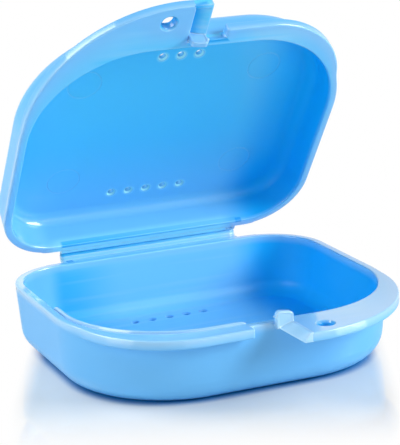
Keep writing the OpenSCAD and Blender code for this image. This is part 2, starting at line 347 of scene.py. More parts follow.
def hinge_groove_shade(spot):
    """Painted shade in the two bending grooves beside the strap, weaker to the right."""
    grooves = spot.into.between(0.9, 1.6, 0.35) + spot.into.between(4.2, 4.7, 0.3) * 0.85
    return (grooves * spot.out.between(-1.5, 0.5, 0.2) * spot.right.between(-23.8, 23.8, 0.8)
            * (0.8 - spot.right * 0.013))


def hinge_slot_shade(spot):
    """Painted shade in the slot at the left end of the tub's land, and in a small relief at the strap's right
    end that is only painted, not cut.
    """
    slot = spot.right.between(-23.2, -21.6, 0.15) * spot.rear.between(-3.7, -1.8, 0.15)
    relief = spot.right.between(23.9, 25.2, 0.4) * spot.into.between(4.3, 5.1, 0.4)
    return slot * spot.up.between(-1.2, 0, 0.1) + relief * spot.out.between(-1.2, 0.5, 0.2)


def painted_hole_rings(spot, rows):
    """Painted light: pale rings round rows of air holes in the lid, by the distance from the nearest hole."""
    rings = 0
    for pitch, at, reach in rows:
        x = spot.right.maths("PINGPONG", spot.right, pitch / MM / 2)
        y = spot.into - at / MM
        away = x.maths("SQRT", x * x + y * y)
        rings = rings + (1 - away.step(1.0, 1.9)) * spot.right.between(-reach / MM, reach / MM, 0.1)
    return rings


def painted_edge_highlight(wire, radius):
    """1 at sharp edges, where the normal of a rounded copy leaves the surface's own: where a pale highlight
    is painted.
    """
    rounding = wire.add("ShaderNodeBevel", {"samples": 8}, {"Radius": radius})
    own = wire.add("ShaderNodeNewGeometry", out="Normal")
    return 1 - rounding.vector("DOT_PRODUCT", own).step(0.78, 0.99)


def polypropylene(name, look, rim_at, rim_out, bend, thin=0.0, rows=()):
    """Moulded plastic: satin outside, polished inside with faint painted streak highlights, painted paler as
    a sheen at the rim, painted highlights at sharp edges, painted light where it is thin and round holes,
    painted shade in hollows, a painted glow and painted groove shade at the hinge, faint clouds and fine
    grain. bend is the colour of the painted glow by the hinge, thin how much paler the whole is painted,
    painted light above 0 and painted shade below, and rows the air holes with a painted light ring: the pitch
    of each row, its distance from the hinge and half its length."""
    material = bpy.data.materials.new(name)
    wire = new_tree(material)
    place = wire.add("ShaderNodeTexCoord", out="Object")
    spot = Around(place, rim_at, rim_out)
    clouds = place.noise(45, 3, 0.55) - 0.5
    grain = place.noise(2600, 2)
    peel = place.noise(190, 1)
    streaks = place.vector("MULTIPLY", (14, 420, 420)).noise(1, 2) - 0.5
    finish = wire.add("ShaderNodeAttribute", {"attribute_name": "finish"}, out="Fac")
    inside = finish.step(-0.2, POLISHED)
    # Painted shade: levels above polished turn towards the deep shade colour
    hollow = finish.step(1.05, HOLLOW_SHADE)
    # Painted light: levels below satin make the plastic paler
    painted_paleness = wire.maths("MAXIMUM", -1 * finish)
    # Painted sheen: paler within a few millimetres of the rim
    rim = 1 - spot.depth.step(0.3, 2.4)
    # Painted highlight: faint streaks inside, fading out towards both sides
    drawn = streaks * inside * spot.right.between(-20, 16, 10)
    pale = rim * 0.55 + clouds * 0.10 + drawn * 1.3 + painted_paleness * 0.7 + thin
    # The hinge's painted glow and groove shade stay on the side that faces into the case
    front = wire.maths("MAXIMUM", inside, 1 - spot.depth.step(0.5, 1.2)) * (1 - spot.rear.step(-0.1, 0.4))
    # Painted light: rings of the strap's pale colour in the pale cones and round the lid's air holes
    rings = painted_paleness.step(1, 2) + painted_hole_rings(spot, rows) * inside * 0.6
    tone = pale.mix(inside.mix(look.plastic, inside_tone_and_painted_light(look, spot)), look.thin)
    # Painted glow by the hinge line, for light through the thin strap
    tone = (hinge_glow_zone(spot) * front).mix(tone, bend)
    tone = rings.mix(tone, look.strap)
    # Painted highlight along sharp edges
    tone = (painted_edge_highlight(wire, look.edge * 2.5) * 0.45).mix(tone, look.edges)
    # Painted shade in the hinge's grooves
    tone = (hinge_groove_shade(spot) * front).mix(tone, look.groove_shade)
    # Painted shade in holes, hollows and the hinge's slots
    tone = (hollow * 0.95 + hinge_slot_shade(spot) * 0.8).mix(tone, look.shade)
    # A wet shine inside, most at the lid's left, none on the dark right side
    shine = (1 - spot.right.step(-32, -22)) * (1 - spot.tub) * 0.8 + 0.2
    rough = look.gloss + inside * 0.06 + hollow * 0.4 + clouds * 0.10 + (grain - 0.5) * 0.05
    soft = wire.add("ShaderNodeBevel", {"samples": 6}, {"Radius": look.edge})
    bump = wire.add("ShaderNodeBump", {}, {
        "Strength": 0.04, "Distance": 0.05 * MM, "Height": grain * 0.25 + peel, "Normal": soft})
    shader = wire.add("ShaderNodeBsdfPrincipled", {}, {
        "Base Color": tone, "Roughness": rough, "Normal": bump, "IOR": 1.49, "Specular IOR Level": 0.22,
        "Coat Weight": rim + inside * (1 - hollow) * (1 - spot.dark) * shine,
        "Coat Roughness": 0.06, "Coat IOR": 1.65})
    wire.add("ShaderNodeOutputMaterial", {}, {"Surface": shader})
    return material


# Surfaces: each is its points, normals and triangles


def unit(vectors):
    """Vectors divided by their lengths."""
    return vectors / np.linalg.norm(vectors, axis=-1, keepdims=True)


def ease(t):
    """0 below 0, 1 above 1, smooth between: 3t^2 - 2t^3."""
    t = np.clip(t, 0, 1)
    return t * t * (3 - 2 * t)


def rays(angle):
    """Unit vectors at angles in a plane."""
    return np.stack([np.cos(angle), np.sin(angle)], axis=-1)


def raised(plan, height):
    """Points in plan with their heights, as points in space."""
    height = np.broadcast_to(height, plan.shape[:-1])
    return np.concatenate([plan, height[..., None]], axis=-1)


def miter(loop):
    """For each point of a closed counter-clockwise plan curve, the outward vector by which it moves so that
    both its edges move out by one: (a + b) / (1 + a.b) of the two edges' outward normals a and b."""
    edge = np.roll(loop, -1, axis=0) - loop
    after = unit(np.stack([edge[:, 1], -edge[:, 0]], axis=-1))
    before = np.roll(after, 1, axis=0)
    return (before + after) / (1 + np.sum(before * after, axis=-1, keepdims=True))


def quads(a, b, c, d):
    """Grids of corners a, b, c and d of quads as two triangles for each quad: abc and acd."""
    return np.concatenate([np.stack([a, b, c], -1).reshape(-1, 3), np.stack([a, c, d], -1).reshape(-1, 3)])


def strip(points, normals, closed=True):
    """A grid of points (station, step across) as triangles; a closed one joins its last station and first."""
    count, across = points.shape[:2]
    last = count if closed else count - 1
    i, k = np.meshgrid(np.arange(last), np.arange(across - 1), indexing="ij")
    here, there = i * across + k, (i + 1) % count * across + k
    return points.reshape(-1, 3), normals.reshape(-1, 3), quads(here, there, there + 1, here + 1)


def within(spots, loop):
    """Which spots lie inside a closed loop: an odd number of its edges cross the ray to the right."""
    x, y = spots[:, None, 0], spots[:, None, 1]
    a, b = loop[None], np.roll(loop, -1, axis=0)[None]
    spans = (a[..., 1] > y) != (b[..., 1] > y)
    rise = np.where(spans, b[..., 1] - a[..., 1], 1.0)
    cross = a[..., 0] + (y - a[..., 1]) / rise * (b[..., 0] - a[..., 0])
    return np.sum(spans & (cross > x), axis=1) % 2 == 1


def plate(outer, holes, z, up):
    """A flat face at height z that faces up or down: a Delaunay filling of all loops, of which the triangles
    stay whose middle lies in the outline and in no hole."""
    loops = [outer, *holes]
    starts = np.cumsum([0] + [len(loop) for loop in loops])
    steps = [start + np.arange(len(loop)) for start, loop in zip(starts, loops)]
    edges = np.concatenate([np.stack([step, np.roll(step, -1)], -1) for step in steps])
    flat = np.concatenate(loops) / MM
    found, _, faces, _, _, _ = delaunay_2d_cdt(flat.tolist(), edges.tolist(), [], 1, 1e-6)
    plan = np.array(found) * MM
    tris = np.array(faces)
    middles = plan[tris].mean(axis=1)
    keep = within(middles, outer)
    for hole in holes:
        keep &= ~within(middles, hole)
    tris = tris[keep]
    a, b, c = plan[tris[:, 0]], plan[tris[:, 1]], plan[tris[:, 2]]
    area = (b[:, 0] - a[:, 0]) * (c[:, 1] - a[:, 1]) - (b[:, 1] - a[:, 1]) * (c[:, 0] - a[:, 0])
    turn = (area > 0) != up
    tris[turn] = tris[turn][:, ::-1]
    return raised(plan, z), np.tile([0.0, 0.0, 1.0 if up else -1.0], (len(plan), 1)), tris


def ring(centre, radius, count):
    """Points of a circle in plan, counter-clockwise."""
    return np.asarray(centre) + radius * rays(np.linspace(0, 2 * math.pi, count, endpoint=False))


def bore(centre, profile, slopes, count):
    """The wall of a hole: a profile of (radius, height) turned about an upright axis, its normals from the
    profile's slopes (outward from the material, so towards the axis)."""
    way = ring((0, 0), 1, count)[:, None]
    points = raised(np.asarray(centre) + profile[None, :, :1] * way, profile[:, 1])
    normals = raised(slopes[None, :, :1] * way, slopes[:, 1])
    points, normals, tris = strip(points, normals)
    return points, normals, tris[:, ::-1]


def join(parts):
    """Surfaces and their finish as one mesh's points, normals, triangles and finish. A part's finish is one
    level or one for each point. Points that lie together and face the same way become one, and triangles
    without area go."""
    points, normals, tris = ([shape[i] for shape, _ in parts] for i in range(3))
    finish = np.concatenate([np.broadcast_to(level, len(shape[0])) for shape, level in parts])
    shift = np.cumsum([0] + [len(p) for p in points])
    points, normals = np.concatenate(points), np.concatenate(normals)
    tris = np.concatenate([t + s for t, s in zip(tris, shift)])
    key = np.column_stack([np.round(points / (0.002 * MM)), np.round(normals * 4)]).astype(np.int64)
    _, first, same = np.unique(key, axis=0, return_index=True, return_inverse=True)
    points, normals, finish, tris = points[first], normals[first], finish[first], same.reshape(-1)[tris]
    a, b, c = points[tris[:, 0]], points[tris[:, 1]], points[tris[:, 2]]
    keep = np.linalg.norm(np.cross(b - a, c - a), axis=-1) > 1e-14
    return points, normals, tris[keep], finish


def piece(name, shape, place, material):
    """A mesh object from points, normals, triangles and finish, each point and normal put in its place."""
    points, normals, tris, finish = shape
    points, normals = place(points, normals)
    used, tris = np.unique(tris, return_inverse=True)
    tris = tris.reshape(-1, 3)
    points, normals, finish = points[used], unit(normals[used] + 1e-12), finish[used]
    mesh = bpy.data.meshes.new(name)
    mesh.vertices.add(len(points))
    mesh.vertices.foreach_set("co", points.astype(np.float32).ravel())
    mesh.loops.add(tris.size)
    mesh.loops.foreach_set("vertex_index", tris.astype(np.int32).ravel())
    mesh.polygons.add(len(tris))
    mesh.polygons.foreach_set("loop_start", np.arange(0, tris.size, 3, dtype=np.int32))
    mesh.update(calc_edges=True)
    mesh.attributes.new("finish", "FLOAT", "POINT").data.foreach_set("value", finish.astype(np.float32))
    mesh.shade_smooth()
    mesh.normals_split_custom_set_from_vertices(normals.tolist())
    mesh.materials.append(material)
    return linked(name, mesh)


def linked(name, data):
    """A new object of that mesh, lamp or camera, in the scene."""
    made = bpy.data.objects.new(name, data)
    bpy.context.scene.collection.objects.link(made)
    return made


def as_tub(points, normals):
    """The tub is drawn where it stands."""
    return points, normals


def as_lid(size):
    """The lid is drawn like the tub, then turned half a turn about Y, set over the tub and swung open."""
    c, s = math.cos(-size.open_angle), math.sin(-size.open_angle)
    swing = np.array([[1, 0, 0], [0, c, -s], [0, s, c]])
    flip = np.diag([-1.0, 1.0, -1.0])

    def place(points, normals):
        """Shut first, then swung about the hinge."""
        shut = points @ flip.T + np.array([0, -HINGE_AT[1], size.rim_gap / 2 + size.lid_h])
        return shut @ swing.T + HINGE_AT, normals @ (swing @ flip).T

    return place


# Tub and lid


def reach_to(start, way, centre, radius):
    """How far a ray from start goes to leave a circle: -b + sqrt(b^2 - (d^2 - r^2)), with b = d.way."""
    gap = start - centre
    b = np.sum(gap * way, axis=-1)
    return -b + np.sqrt(np.maximum(b * b - np.sum(gap * gap, axis=-1) + radius * radius, 0))


def rim_stations(size):
    """Stations round the case, counter-clockwise from the left front: the point on the rim's inside, the way
    out of the case there, and how far the lip or the tab reaches out of the wall. Where a lip or tab ends
    square, stations follow its end round a small corner and back to the wall."""
    half_w, half_d = size.inner_w / 2, size.inner_d / 2
    front_x, front_y = half_w - size.front_r, size.front_r - half_d
    back_x, back_y = half_w - size.back_r, half_d - size.back_r
    wall_y = -half_d - size.wall
    tab_c = np.array([half_w + size.wall - TAB_INSET - size.tab_r, wall_y - size.tab_reach + size.tab_r])
    # The lip's circle is smaller than the corner, so that the lip fades out towards the left side
    lip_r = size.front_r + size.wall - 5 * MM
    lip_c = np.array([-front_x - 3 * MM, wall_y - size.lip_out + lip_r])
    corner_r = 0.45 * MM
    runs = []

    def arc(x, y, r, start, count):
        """Stations on a quarter circle, and their ways out."""
        way = rays(np.radians(np.linspace(start, start + 90, count + 1)))
        return np.array([x, y]) + r * way, way

    def straight(a, b, count, way):
        """Stations between two points, without the points themselves, and their one way out."""
        t = np.linspace(0, 1, count + 2)[1:-1, None]
        return np.array(a) * (1 - t) + np.array(b) * t, np.tile(np.array(way, float), (count, 1))

    def on_front(x):
        """Stations at each x on the front, and their way out."""
        return np.stack([x, np.full(len(x), -half_d)], -1), np.tile([0.0, -1.0], (len(x), 1))

    def along_front(x0, x1, count):
        """Stations between two places on the front, and their way out."""
        return straight((x0, -half_d), (x1, -half_d), count, (0.0, -1.0))

    def softened(t):
        """The greater of t and 0, rounded where they meet: (t + sqrt(t^2 + s^2)) / 2."""
        return (t + np.sqrt(t * t + (0.25 * MM) ** 2)) / 2

    def tab(at, way):
        """How far the tab's circle lies outside the wall."""
        return softened(reach_to(at + size.wall * way, way, tab_c, size.tab_r))

    def lip(at, way):
        """How far the lip's circle, or its straight front, lies outside the wall."""
        start = at + size.wall * way
        t = reach_to(start, way, lip_c, lip_r)
        level = (wall_y - size.lip_out - start[:, 1]) / np.minimum(way[:, 1], -1e-6)
        return softened(np.where(start[:, 0] + t * way[:, 0] > lip_c[0], level, t))

    def add(at, way, reach=0.0):
        """The next run of stations, with one reach or one for each."""
        runs.append((at, way, np.broadcast_to(reach, len(at))))

    turn = np.linspace(0, math.pi / 2, 7)
    # Lip on the front, its end, and the bare wall of the notch
    end = -size.lip_end
    rest = size.lip_out - corner_r
    add(*along_front(-front_x, end - corner_r, 5), size.lip_out)
    x = np.concatenate([end - corner_r + corner_r * np.sin(turn), np.full(4, end)])
    add(*on_front(x), np.concatenate([rest + corner_r * np.cos(turn), np.linspace(rest, 0, 5)[1:]]))
    add(*along_front(end, size.hook_x1, 8))
    # The tab's end, the tab on the front, round the corner and fading along the right side
    start = size.hook_x1 + corner_r
    rest = tab(*on_front(np.array([start])))[0] - corner_r
    x = np.concatenate([np.full(4, size.hook_x1), start - corner_r * np.cos(turn)])
    add(*on_front(x), np.concatenate([np.linspace(0, rest, 5)[:-1], rest + corner_r * np.sin(turn)]))
    at, way = along_front(start, front_x, 10)
    add(at, way, tab(at, way))
    at, way = arc(front_x, front_y, size.front_r, -90, 72)
    add(at, way, tab(at, way))
    at, way = straight((half_w, front_y), (half_w, back_y), 24, (1.0, 0.0))
    add(at, way, tab(at, way) * (1 - ease((at[:, 1] - front_y) / (6 * MM))))
    # The bare back and left side, and the lip that grows round the left front corner
    add(*arc(back_x, back_y, size.back_r, 0, 40))
    add(*straight((back_x, half_d), (-back_x, half_d), 12, (0.0, 1.0)))
    add(*arc(-back_x, back_y, size.back_r, 90, 40))
    add(*straight((-half_w, back_y), (-half_w, front_y), 24, (-1.0, 0.0)))
    at, way = arc(-front_x, front_y, size.front_r, 180, 72)
    add(at, way, lip(at, way) * ease((np.arange(len(at)) - 4) / 20))
    return [np.concatenate(column) for column in zip(*runs)]


def turned(centre, radius, start, end, count, inside=False):
    """An arc of a section: points (out, up) and normals, which point to the centre inside a bend."""
    ray = rays(np.radians(np.linspace(start, end, count)))
    return np.asarray(centre) + radius * ray, -ray if inside else ray


def carried(at, way, section, slopes):
    """A section of (out, up) carried along the stations: point = station + out * way, at height up."""
    points = raised(at[:, None] + section[None, :, :1] * way[:, None], section[:, 1])
    return strip(points, raised(slopes[None, :, :1] * way[:, None], slopes[:, 1]))


def outside_section(size, height, foot_r):
    """Section of the outside, from the flat underside round the foot and up the leaning wall to the flange:
    out = wall - tan(draft) * (distance below the rim)."""
    lean, cos, sin = math.tan(size.draft), math.cos(size.draft), math.sin(size.draft)
    foot = size.wall - (foot_r + (height - foot_r) * sin) / cos
    arc, slope = turned((foot, foot_r), foot_r, -90, -math.degrees(size.draft), 12)
    z = np.linspace(arc[-1, 1], height - size.tab_t, 4)[1:]
    wall = np.stack([size.wall - lean * (height - z), z], axis=-1)
    return np.concatenate([arc, wall]), np.concatenate([slope, np.tile([cos, -sin], (3, 1))])


def inside_section(size, height, foot_r):
    """Section of the inside, from the flat top of the rim over its round edge, down the leaning wall and
    round the inner foot to the floor."""
    draft, cos, sin = math.degrees(size.draft), math.cos(size.draft), math.sin(size.draft)
    lip = RIM_EDGE * (1 - sin) / cos
    arc, slope = turned((lip, height - RIM_EDGE), RIM_EDGE, 90, 180 - draft, 7)
    inner_r = foot_r - size.wall + 0.4 * MM
    heel = -(inner_r + (height - size.floor_t - inner_r) * sin) / cos
    bend, bend_slope = turned((heel, size.floor_t + inner_r), inner_r, -draft, -90, 12, inside=True)
    return np.concatenate([arc, bend]), np.concatenate([slope, bend_slope])


def flange_edge(size, height, at, way, reach):
    """The flange's edge as a grid of points and normals, from its underside up to the flat top of the rim: a
    small lower rounding, the side, and an upper rounding that is nearly sharp along the hinge. Where the
    wall is bare the edge leans with it."""
    quarter = math.pi / 2
    outline = at + (size.wall + reach)[:, None] * way
    out = miter(outline)
    bare = (1 - ease(reach / (0.8 * MM)))[:, None]
    lean = size.draft * bare
    low_r = np.minimum(0.3 * MM, 0.4 * reach)[:, None]
    hinge = (np.abs(at[:, 0]) < 0.6 * size.hinge_l) & (at[:, 1] > 0.99 * size.inner_d / 2)
    top_r = np.where(hinge, HINGE_EDGE, RIM_EDGE)[:, None]
    share = np.linspace(0, 1, 6)[None]
    low = quarter * (share - 1)
    top = -lean + (quarter + lean) * np.linspace(0, 1, 8)[None]
    off = np.concatenate([-low_r * (1 - np.cos(low)), -top_r * (1 - np.cos(top))], axis=1)
    low_z = height - size.tab_t + low_r * (1 + np.sin(low))
    z = np.concatenate([low_z, height - top_r * (1 - np.sin(top))], axis=1)
    inset = math.tan(size.draft) * (height - z) * bare
    flat = outline[:, None] + off[..., None] * out[:, None] - inset[..., None] * way[:, None]
    turn = np.concatenate([-quarter + (quarter - lean) * share, top], axis=1)
    return raised(flat, z), raised(np.cos(turn)[..., None] * unit(out)[:, None], np.sin(turn))


def flange_underside(size, under, at, way, reach, low_edge, lanyard):
    """The flange's underside: strips from the wall to its lower edge, and a plate round the lanyard hole."""
    spot, radius = lanyard
    start = raised(at + (size.wall - math.tan(size.draft) * size.tab_t) * way, under)
    grid = np.stack([start, low_edge], axis=1)
    beside = (at[:, 0] > size.hook_x1 + MM) & (at[:, 0] < spot[0] + 2.5 * radius)
    near = np.flatnonzero((reach > size.lip_out) & beside)
    first, last = near[0], near[-1]
    before, after = grid[:first + 1], np.concatenate([grid[last:], grid[:1]])
    down = np.array([0.0, 0.0, -1.0])
    patch = np.concatenate([start[first:last + 1, :2], low_edge[first:last + 1, :2][::-1]])
    return [(strip(before, np.broadcast_to(down, before.shape), closed=False), SATIN),
            (strip(after, np.broadcast_to(down, after.shape), closed=False), SATIN),
            (plate(patch, [ring(spot, radius, LANYARD_STEPS)], under, False), SATIN)]


def lanyard_bore(lanyard, under, height):
    """The lanyard hole: straight below, bevelled at the top, with painted shade deep in the bore and a
    painted highlight pale at its edge.
    """
    spot, radius = lanyard
    bevel = LANYARD_BEVEL + [radius, height - LANYARD_BEVEL[-1, 1]]
    straight = np.array([[radius, under], bevel[0]])
    slopes = np.array([[-0.9, 0.43], [-0.75, 0.66], [-0.66, 0.75], [0, 1.0]])
    return [(bore(spot, straight, np.array([[-1.0, 0], [-1, 0]]), LANYARD_STEPS), 2.2),
            (bore(spot, bevel, slopes, LANYARD_STEPS), np.tile([2.2, 2.2, 1.6, -0.5], LANYARD_STEPS))]


def pin_mark(size, spot):
    """The shallow ring left in the floor by an ejector pin."""
    slopes = np.array([[0.3, 0.95], [0.5, 0.87], [-0.5, 0.87], [-0.3, 0.95]])
    disc = plate(ring(spot, PIN_GROOVE[0, 0], PIN_STEPS), [], size.floor_t, True)
    return [(disc, POLISHED), (bore(spot, PIN_GROOVE + [0, size.floor_t], slopes, PIN_STEPS), POLISHED)]


def air_hole(size, spot, levels):
    """An air hole: straight from the underside, then a cone that opens to the inside, both stretched to the
    floor's thickness."""
    stretch = np.array([1, size.floor_t / VENT_CONE[-1, 1]])
    foot = np.array([size.vent_d / 2, 0])
    slopes = np.array([[-0.9, 0.43], [-0.75, 0.66], [-0.5, 0.87], [0, 1.0]])
    straight = bore(spot, VENT_BORE * stretch + foot, np.array([[0, -1.0], [-1, 0], [-1, 0]]), VENT_STEPS)
    return [(straight, levels[0]), (bore(spot, VENT_CONE * stretch + foot, slopes, VENT_STEPS), levels[1])]


def case_half(size, height, foot_r, vents, vent_levels, notch_level, lanyard, pins=()):
    """One half of the case: its outside and inside sections carried round the stations, the flange of rim,
    lip and tab, the flat faces and the holes. vent_levels gives the levels in the air holes' straight bores,
    with painted shade, and in their cones, with painted light; notch_level gives the painted shade on the
    bare wall beside the hook."""
    at, way, reach = rim_stations(size)
    spot, radius = lanyard
    under = height - size.tab_t
    outside, outside_slopes = outside_section(size, height, foot_r)
    inside, inside_slopes = inside_section(size, height, foot_r)
    edge, edge_normals = flange_edge(size, height, at, way, reach)
    notch = (reach < 0.1 * MM) & (at[:, 1] < -0.49 * size.inner_d) & (at[:, 0] < size.hook_x1)
    # The notch's level paints shade on the bare wall beside the hook
    edge_levels = np.repeat(np.where(notch, notch_level, SATIN), edge.shape[1])
    rim_holes = [at + inside[0, 0] * way, ring(spot, radius + LANYARD_BEVEL[-1, 0], LANYARD_STEPS)]
    cones = [ring(vent, size.vent_d / 2 + VENT_CONE[-1, 0], VENT_STEPS) for vent in vents]
    grooves = [ring(pin, PIN_GROOVE[-1, 0], PIN_STEPS) for pin in pins]
    mouths = [ring(vent, size.vent_d / 2 + VENT_BORE[0, 0], VENT_STEPS) for vent in vents]
    parts = [(carried(at, way, outside, outside_slopes), SATIN),
             (strip(edge, edge_normals), edge_levels),
             (carried(at, way, inside, inside_slopes), POLISHED),
             (plate(edge[:, -1, :2], rim_holes, height, True), SATIN)]
    parts += lanyard_bore(lanyard, under, height)
    parts += flange_underside(size, under, at, way, reach, edge[:, 0], lanyard)
    parts.append((plate(at + inside[-1, 0] * way, cones + grooves, size.floor_t, True), POLISHED))
    for pin in pins:
        parts += pin_mark(size, pin)
    parts.append((plate(at + outside[0, 0] * way, mouths, 0.0, False), SATIN))
    for vent in vents:
        parts += air_hole(size, vent, vent_levels)
    return join(parts)


# Tongues, hooks and ridge


def rounded(corners, cuts, steps=6):
    """Closed sections with each corner rounded: a quadratic curve from cut before the corner to cut after it.
    corners is (station, corner, 2) and cuts one length for each corner."""
    ahead = unit(np.roll(corners, -1, axis=1) - corners)
    behind = unit(np.roll(corners, 1, axis=1) - corners)
    cut = np.asarray(cuts)[None, :, None]
    t = np.linspace(0, 1, steps)[None, None, :, None]
    curve = ((1 - t) ** 2 * (corners + behind * cut)[:, :, None] + 2 * t * (1 - t) * corners[:, :, None]
             + t ** 2 * (corners + ahead * cut)[:, :, None])
    return curve.reshape(len(corners), -1, 2)


def loft(sections):
    """Closed sections (station, point, 3) joined one to the next, each end closed by a flat fan.
    Normals of the sides are the sums of the triangles round each point, weighed by their area."""
    count, n = sections.shape[:2]
    k = np.arange(n)
    m = (k + 1) % n
    here = np.arange(count - 1)[:, None] * n
    sides = quads(here + k, here + m, here + n + m, here + n + k)
    first, last = count * n, count * n + n + 1
    fans = np.concatenate([np.stack([np.full(n, first + n), first + m, first + k], -1),
                           np.stack([np.full(n, last + n), last + k, last + m], -1)])
    caps = [np.concatenate([rim, rim.mean(axis=0, keepdims=True)]) for rim in (sections[0], sections[-1])]
    points = np.concatenate([sections.reshape(-1, 3), *caps])
    tris = np.concatenate([sides, fans])
    face = np.cross(points[tris[:, 1]] - points[tris[:, 0]], points[tris[:, 2]] - points[tris[:, 0]])
    middle = points[tris].mean(axis=1) - sections.mean(axis=(0, 1))
    if np.sum(face * middle) < 0:
        tris, face = tris[:, ::-1], -face
    normals = np.zeros_like(points)
    np.add.at(normals, tris.ravel(), np.repeat(face, 3, axis=0))
    normals[first:last] = normals[first + n]
    normals[last:] = normals[last + n]
    return points, unit(normals + 1e-30), tris


def loft_along(sections, y):
    """Sections of (x, z), each set at its own y, joined one to the next."""
    y = np.broadcast_to(y[:, None], sections.shape[:2])
    return loft(np.stack([sections[..., 0], y, sections[..., 1]], axis=-1))


def corners_at(y, corners):
    """Corners (x, z) of the sections at each y, a value being one number or one for each y."""
    spread = [[np.broadcast_to(value, y.shape) for value in corner] for corner in corners]
    return np.moveaxis(np.array(spread), 2, 0)


def ends(section_at, start, end, soft, count):
    """Stations from start to end of a bar, the first and last few drawn in to round its ends: at u of the
    rounding the section shrinks towards its middle by soft * (1 - sqrt(1 - (1 - u)^2))."""
    u = np.array([0.0, 0.08, 0.25, 0.5, 0.8])
    way = np.sign(end - start)
    along = np.concatenate([start + way * soft * u, np.linspace(start + way * soft, end - way * soft, count),
                            (end - way * soft * u)[::-1]])
    pull = soft * (1 - np.sqrt(1 - (1 - u) ** 2))
    pull = np.concatenate([pull, np.zeros(count), pull[::-1]])
    plan = section_at(along)
    middle = plan.mean(axis=1, keepdims=True)
    spread = np.abs(plan - middle).max(axis=(1, 2))
    return middle + (plan - middle) * (1 - pull / spread)[:, None, None], along


def tongue_run(size):
    """Where a tongue starts and ends along Y: at the front of the tab beside it, and just inside the wall."""
    out = size.inner_w / 2 + size.wall - TAB_INSET - size.tab_r - size.hook_x1
    front = size.tab_r - size.tab_reach - math.sqrt(size.tab_r ** 2 - out ** 2)
    wall = -size.inner_d / 2 - size.wall
    return wall + front, wall + 0.6 * MM


def slanted_tongue(size, height):
    """The tub's tongue: a bar along Y whose free corner runs from near the rim's plane at the wall to the
    tab's underside at the front, so that its upper face twists from flat to steep."""
    tip, root = tongue_run(size)
    in_tab, crest = size.hook_x1 + 0.5 * MM, size.hook_x1 - 0.3 * MM
    top, low = height + 0.12 * MM, height - TONGUE_T

    def section_at(y):
        """Sections whose free corner falls and draws in from the wall to the front."""
        t = (y - tip) / (root - tip)
        free = (size.hook_x0 + 2.55 * MM * (1 - t), low + 1.55 * MM * t)
        corners = corners_at(y, [(in_tab, top), (crest, top), free, (in_tab, low)])
        return rounded(corners, np.array([0.12, 0.25, 0.22, 0.1]) * MM)

    return loft_along(*ends(section_at, tip, root, 0.12 * MM, 24))


def sunk_tongue(size, height):
    """The lid's tongue: a bar along Y that stands up at its free edge and is hollowed towards the tab, the
    hollow closed at the front."""
    tip, root = tongue_run(size)
    free, low = size.hook_x0, height - TONGUE_T

    def section_at(y):
        """Sections whose corner by the tab sinks behind the closed front."""
        sink = ease((y - tip - 0.85 * MM) / (0.3 * MM))
        tab = size.hook_x1 + 0.15 * MM + 0.45 * MM * (1 - sink)
        hollow = height - 0.01 * MM - 1.1 * MM * sink
        edge = [(free, low), (free, height), (free + 0.5 * MM, height)]
        corners = corners_at(y, edge + [(tab, hollow), (tab, low)])
        return rounded(corners, np.array([0.2, 0.22, 0.15, 0.05, 0.1]) * MM)

    return loft_along(*ends(section_at, tip, root, 0.12 * MM, 60))


def hook_head(size, height):
    """The upright hook: an outline with two round top corners, the top falling a little to the tab's side,
    and a barb, given thickness along Y with rounded edges and a raised border on its outer face."""
    x0, x1 = size.hook_x0 + 0.25 * MM, size.hook_x1 + 0.2 * MM
    z0, z1 = height - 1.2 * MM, height + size.hook_h - 0.1 * MM
    corner_r, fall = MM, 0.35 * MM
    angle = np.radians(np.linspace(0, 90, 12))
    sin, cos = corner_r * np.sin(angle), corner_r * np.cos(angle)
    right = np.stack([x1 - corner_r + cos, z1 - fall - corner_r + sin], -1)
    left = np.stack([x0 + corner_r - sin, z1 - corner_r + cos], -1)
    barb = np.array([[0, 0.05], [0.25, 0.12], [0.42, 0.25], [0.45, 0.4], [0.36, 0.55], [0.1, 0.75], [0, 0.9]])
    barb = np.array([x0, z1 - corner_r]) - barb * MM
    outline = np.concatenate([[[x0, z0], [x1, z0]], right, left, barb])
    border = np.maximum(outline, [x0, z0])
    inner = -size.inner_d / 2 - size.wall - 0.5 * MM
    outer = inner - size.hook_t
    edge_r = 0.25 * MM
    turn = np.radians(np.linspace(0, 90, 6))
    round_in, round_out = edge_r * (1 - np.sin(turn)), edge_r * (1 - np.cos(turn))
    off = -np.concatenate([round_in, round_out])
    sunk = np.array([-0.42, -0.47, -0.55, -0.6]) * MM
    y = np.concatenate([inner - round_out, outer + round_in, outer + np.array([0.0, 0.02, 0.1, 0.12]) * MM])
    plan = np.concatenate([outline[None] + off[:, None, None] * miter(outline)[None],
                           border[None] + sunk[:, None, None] * miter(border)[None]])
    return loft_along(plan, y)


